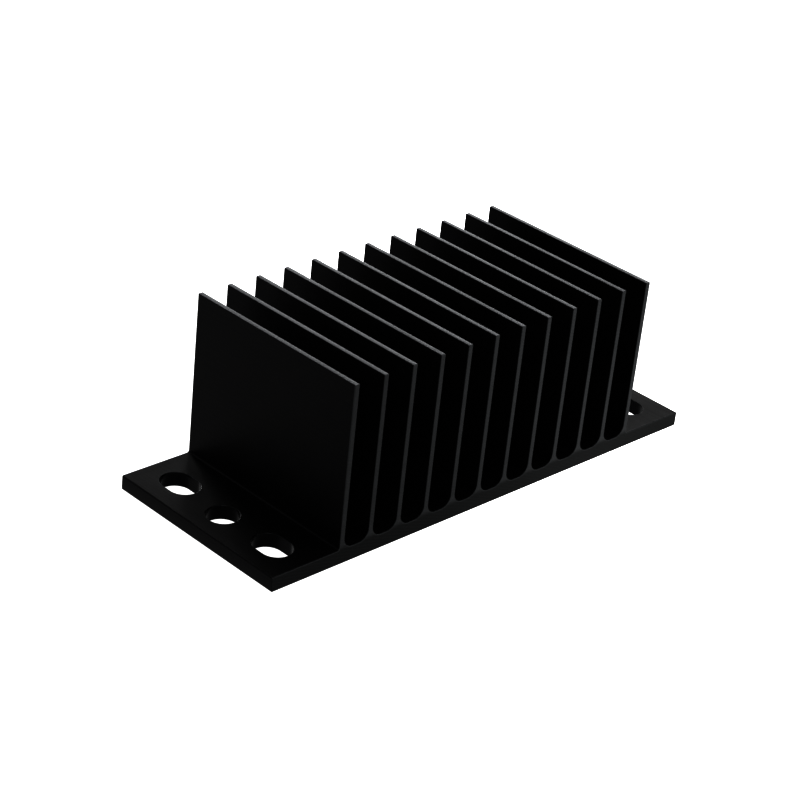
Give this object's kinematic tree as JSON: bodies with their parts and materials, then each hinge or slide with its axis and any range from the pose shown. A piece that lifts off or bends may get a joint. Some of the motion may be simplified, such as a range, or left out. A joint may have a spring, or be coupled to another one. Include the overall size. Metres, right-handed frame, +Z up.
{
  "type": "brick converter heat sink",
  "caption": "Flat-based extruded heat sink with a comb of tall thin fins and a drilled and slotted flange at each end, for bolting onto a brick power converter.",
  "frame": {"origin": "middle of the flat underside of the base, the face that meets the converter's baseplate", "axes": "+X along the base and across the fins, +Y along the fins, which is the way of extrusion, +Z up the fins"},
  "size_m": [0.0584, 0.023, 0.0195],
  "materials": {
    "black_anodised_aluminium": "satin black anodised, as extruded, with sawn ends"
  },
  "bodies": {
    "root": {"heat_sink": "black_anodised_aluminium"}
  },
  "joints": []
}
